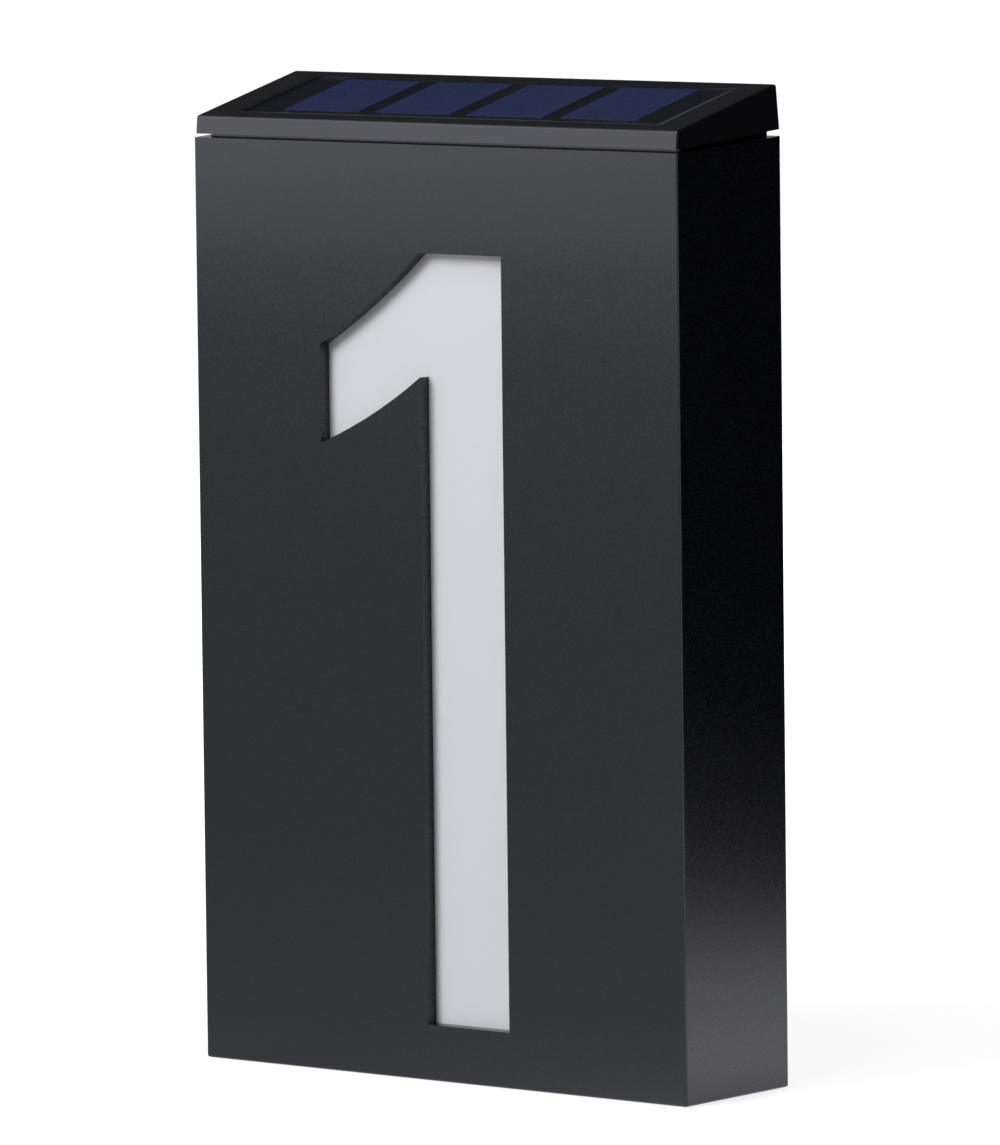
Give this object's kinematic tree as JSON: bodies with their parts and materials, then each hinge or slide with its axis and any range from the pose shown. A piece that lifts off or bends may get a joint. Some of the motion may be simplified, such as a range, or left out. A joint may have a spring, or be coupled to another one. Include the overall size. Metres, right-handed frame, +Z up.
{
  "type": "illuminated house number sign",
  "caption": "Upright box sign with a cut-out, back-lit house number and a sloping lift-off solar cap holding lamps, battery and switch.",
  "frame": {"origin": "middle of the underside of the box", "axes": "+Z up, +X to the viewer's right, -Y out of the number's face; the back that meets the wall faces +Y"},
  "size_m": [0.132, 0.036, 0.2139],
  "materials": {
    "housing_black": "fine-grained satin black moulding",
    "cap_black": "satin black moulding with soft edges",
    "tray_black": "plain black moulding",
    "diffuser_opal": "opal white sheet",
    "reflector_white": "white reflective moulding",
    "screw_steel": "zinc-plated steel",
    "seal_rubber": "soft black rubber",
    "panel_backing": "black board",
    "cell_silicon": "dark blue silicon with fine grid lines",
    "panel_glaze": "clear resin",
    "lead_insulation": "insulated wire",
    "battery_sleeve": "plain shrink sleeve",
    "contact_nickel": "nickel-plated spring steel",
    "circuit_white": "white solder resist",
    "led_lens": "clear lens",
    "circuit_green": "green solder resist",
    "chip_black": "moulded epoxy",
    "coil_core": "ferrite drum",
    "capacitor_sleeve": "plain sleeve",
    "switch_knob": "ribbed white knob"
  },
  "bodies": {
    "housing": {"housing_shell": "housing_black", "digit_diffuser": "diffuser_opal", "reflector": "reflector_white", "reflector_screws": "screw_steel", "rear_cover": "housing_black", "cover_screws": "screw_steel"},
    "solar_head": {"cap_frame": "cap_black", "head_seal": "seal_rubber", "panel_board": "panel_backing", "solar_cells": "cell_silicon", "panel_glaze": "panel_glaze", "panel_leads": "lead_insulation", "battery_tray": "tray_black", "tray_screws": "screw_steel", "battery_cell": "battery_sleeve", "battery_contacts": "contact_nickel", "led_board": "circuit_white", "leds": "led_lens", "led_leads": "lead_insulation", "circuit_board": "circuit_green", "control_chip": "chip_black", "coil": "coil_core", "capacitor": "capacitor_sleeve", "switch_body": "chip_black"},
    "battery_door": {"battery_door": "tray_black"},
    "power_switch": {"switch_slider": "switch_knob"}
  },
  "joints": [
    {"name": "head_lift", "type": "slide", "parent": "housing", "child": "solar_head", "axis": [0, 0, 1], "range_m": [0, 0.04]},
    {"name": "door_slide", "type": "slide", "parent": "solar_head", "child": "battery_door", "axis": [1, 0, 0], "range_m": [0, 0.054]},
    {"name": "switch_slide", "type": "slide", "parent": "solar_head", "child": "power_switch", "axis": [1, 0, 0], "range_m": [0, 0.004]}
  ]
}
